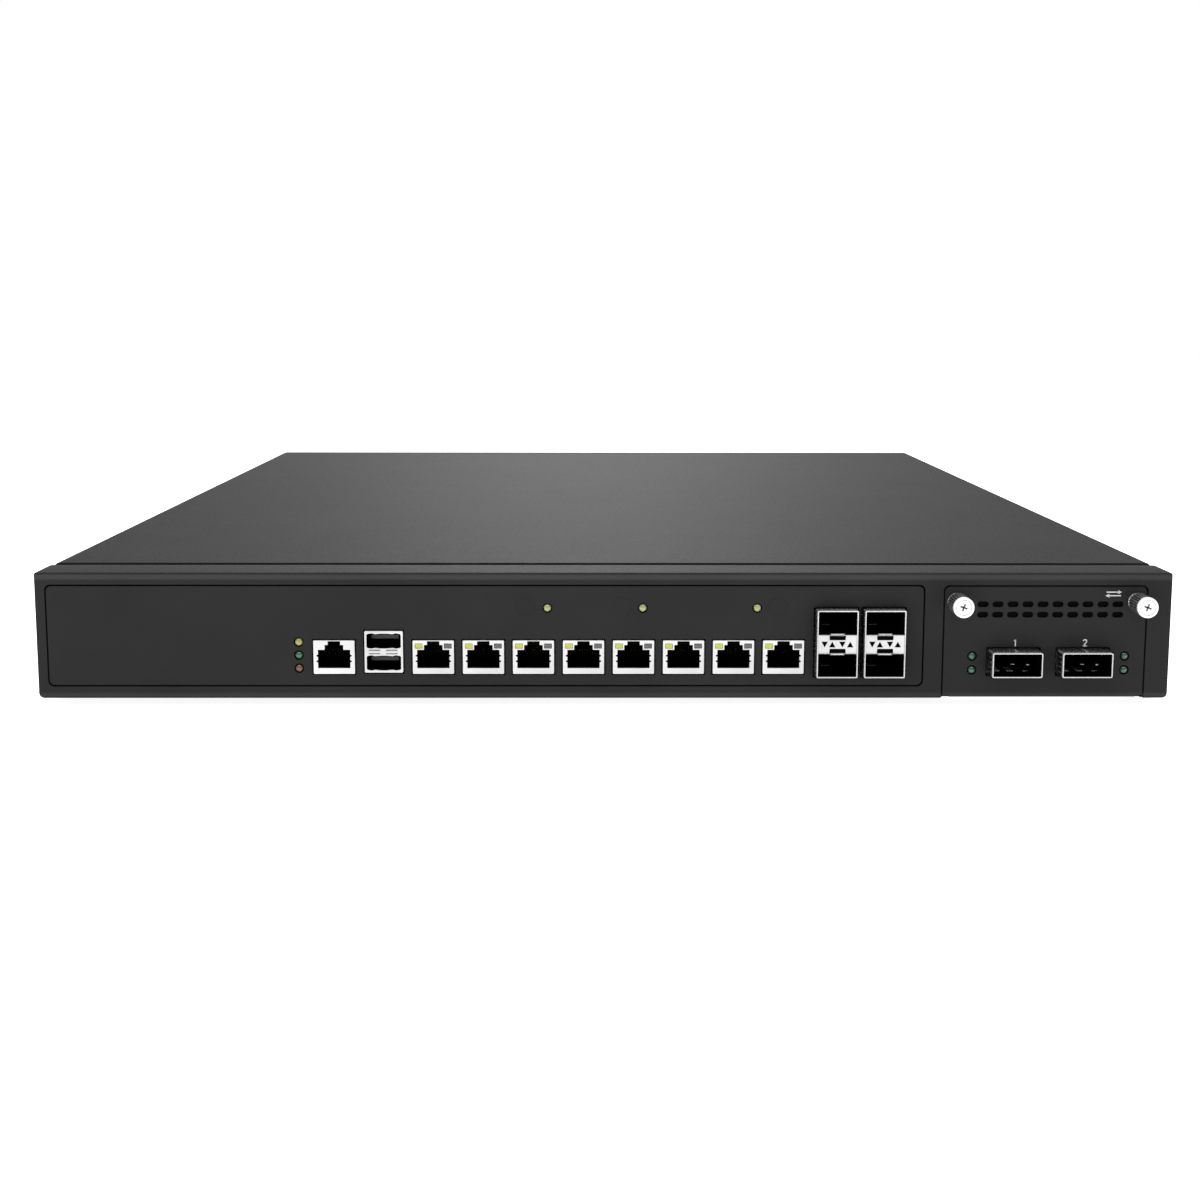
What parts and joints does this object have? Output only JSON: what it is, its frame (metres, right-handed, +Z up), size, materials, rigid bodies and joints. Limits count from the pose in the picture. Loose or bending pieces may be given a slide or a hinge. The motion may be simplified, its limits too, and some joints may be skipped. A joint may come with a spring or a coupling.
{
  "type": "firewall appliance",
  "caption": "Rack-height network firewall appliance with copper and fibre ports, a slide-in port module held by captive thumbscrews, a lift-off lid and rear fans.",
  "frame": {"origin": "middle of the bounding box's underside, on the surface that the feet stand on", "axes": "+Z up; the front with its ports faces -Y; +X is to the right when facing the front"},
  "size_m": [0.44, 0.6178, 0.0524],
  "materials": {
    "powder_coat": "satin dark grey powder coat",
    "zinc_steel": "zinc-plated sheet steel",
    "tinned_steel": "bright tinned connector shell",
    "nickel": "nickel-plated, knurled",
    "aluminium": "satin",
    "black_plastic": "moulded black",
    "circuit_board": "solder mask",
    "rubber": "matte",
    "cable_sleeve": "woven sleeve",
    "lamp_pale_yellow": "clear diffused lamp",
    "lamp_yellow": "diffused lamp",
    "lamp_green": "diffused lamp",
    "lamp_brown": "diffused lamp"
  },
  "bodies": {
    "chassis": {"base_chassis": "zinc_steel", "front_bezel": "powder_coat", "front_panel": "powder_coat", "foot_front_left": "rubber", "foot_front_right": "rubber", "foot_rear_left": "rubber", "foot_rear_right": "rubber", "console_jack": "tinned_steel", "usb_shell": "tinned_steel", "usb_tongues": "black_plastic", "lan_jack_1": "tinned_steel", "lan_jack_2": "tinned_steel", "lan_jack_3": "tinned_steel", "lan_jack_4": "tinned_steel", "lan_jack_5": "tinned_steel", "lan_jack_6": "tinned_steel", "lan_jack_7": "tinned_steel", "lan_jack_8": "tinned_steel", "sfp_cage_left": "tinned_steel", "sfp_cage_right": "tinned_steel", "status_led_bottom": "lamp_brown", "status_led_middle": "lamp_green", "status_led_top": "lamp_yellow", "bypass_led_1": "lamp_pale_yellow", "bypass_led_2": "lamp_pale_yellow", "bypass_led_3": "lamp_pale_yellow", "mainboard": "circuit_board", "cpu_heatsink": "aluminium", "memory_module_1": "circuit_board", "memory_module_2": "circuit_board", "storage_drive": "aluminium", "drive_bracket": "zinc_steel", "power_harness": "cable_sleeve", "module_bay": "zinc_steel", "bay_socket": "black_plastic", "psu_case": "zinc_steel", "psu_fan_frame": "black_plastic", "ac_inlet": "black_plastic", "fan_frame_1": "black_plastic", "fan_frame_2": "black_plastic", "fan_frame_3": "black_plastic"},
    "cover": {"top_cover": "powder_coat"},
    "slide_in_module": {"module_faceplate": "powder_coat", "module_board": "circuit_board", "module_heatsink": "aluminium", "qsfp_cage_1": "tinned_steel", "qsfp_cage_2": "tinned_steel", "module_led_left": "lamp_green", "module_led_right": "lamp_green", "screw_ferrule_left": "nickel", "screw_ferrule_right": "nickel"},
    "screw_carrier_left": {"retaining_ring_left": "nickel"},
    "screw_carrier_right": {"retaining_ring_right": "nickel"},
    "knob_left": {"thumbscrew_left": "nickel"},
    "knob_right": {"thumbscrew_right": "nickel"},
    "rotor_1": {"fan_rotor_1": "black_plastic"},
    "rotor_2": {"fan_rotor_2": "black_plastic"},
    "rotor_3": {"fan_rotor_3": "black_plastic"},
    "psu_rotor": {"psu_fan_rotor": "black_plastic"},
    "rocker": {"power_switch": "black_plastic"}
  },
  "joints": [
    {"name": "cover_lift", "type": "slide", "parent": "chassis", "child": "cover", "axis": [0, 0, 1], "range_m": [0, 0.1]},
    {"name": "module_slide", "type": "slide", "parent": "chassis", "child": "slide_in_module", "axis": [0, -1, 0], "range_m": [0, 0.225]},
    {"name": "thumbscrew_left_travel", "type": "slide", "parent": "slide_in_module", "child": "screw_carrier_left", "axis": [0, -1, 0], "range_m": [0, 0.004]},
    {"name": "thumbscrew_left_turn", "type": "hinge", "parent": "screw_carrier_left", "child": "knob_left", "pos_m": [0.1364, -0.29393, 0.0412], "axis": [0, -1, 0], "range_deg": [0, 2881]},
    {"name": "thumbscrew_right_travel", "type": "slide", "parent": "slide_in_module", "child": "screw_carrier_right", "axis": [0, -1, 0], "range_m": [0, 0.004]},
    {"name": "thumbscrew_right_turn", "type": "hinge", "parent": "screw_carrier_right", "child": "knob_right", "pos_m": [0.2065, -0.29393, 0.0412], "axis": [0, -1, 0], "range_deg": [0, 2881]},
    {"name": "fan_1_spin", "type": "hinge", "parent": "chassis", "child": "rotor_1", "pos_m": [-0.16, 0.27657, 0.0266], "axis": [0, 1, 0], "continuous": true},
    {"name": "fan_2_spin", "type": "hinge", "parent": "chassis", "child": "rotor_2", "pos_m": [-0.1, 0.27657, 0.0266], "axis": [0, 1, 0], "continuous": true},
    {"name": "fan_3_spin", "type": "hinge", "parent": "chassis", "child": "rotor_3", "pos_m": [-0.04, 0.27657, 0.0266], "axis": [0, 1, 0], "continuous": true},
    {"name": "psu_fan_spin", "type": "hinge", "parent": "chassis", "child": "psu_rotor", "pos_m": [0.141, 0.27527, 0.0266], "axis": [0, 1, 0], "continuous": true},
    {"name": "power_rocker_tip", "type": "hinge", "parent": "chassis", "child": "rocker", "pos_m": [0.202, 0.30607, 0.026], "axis": [1, 0, 0], "range_deg": [0, 20]}
  ],
  "couplings": [
    {"joint": "thumbscrew_left_turn", "follows": "thumbscrew_left_travel", "rad_per_m": 12566},
    {"joint": "thumbscrew_right_turn", "follows": "thumbscrew_right_travel", "rad_per_m": 12566}
  ]
}
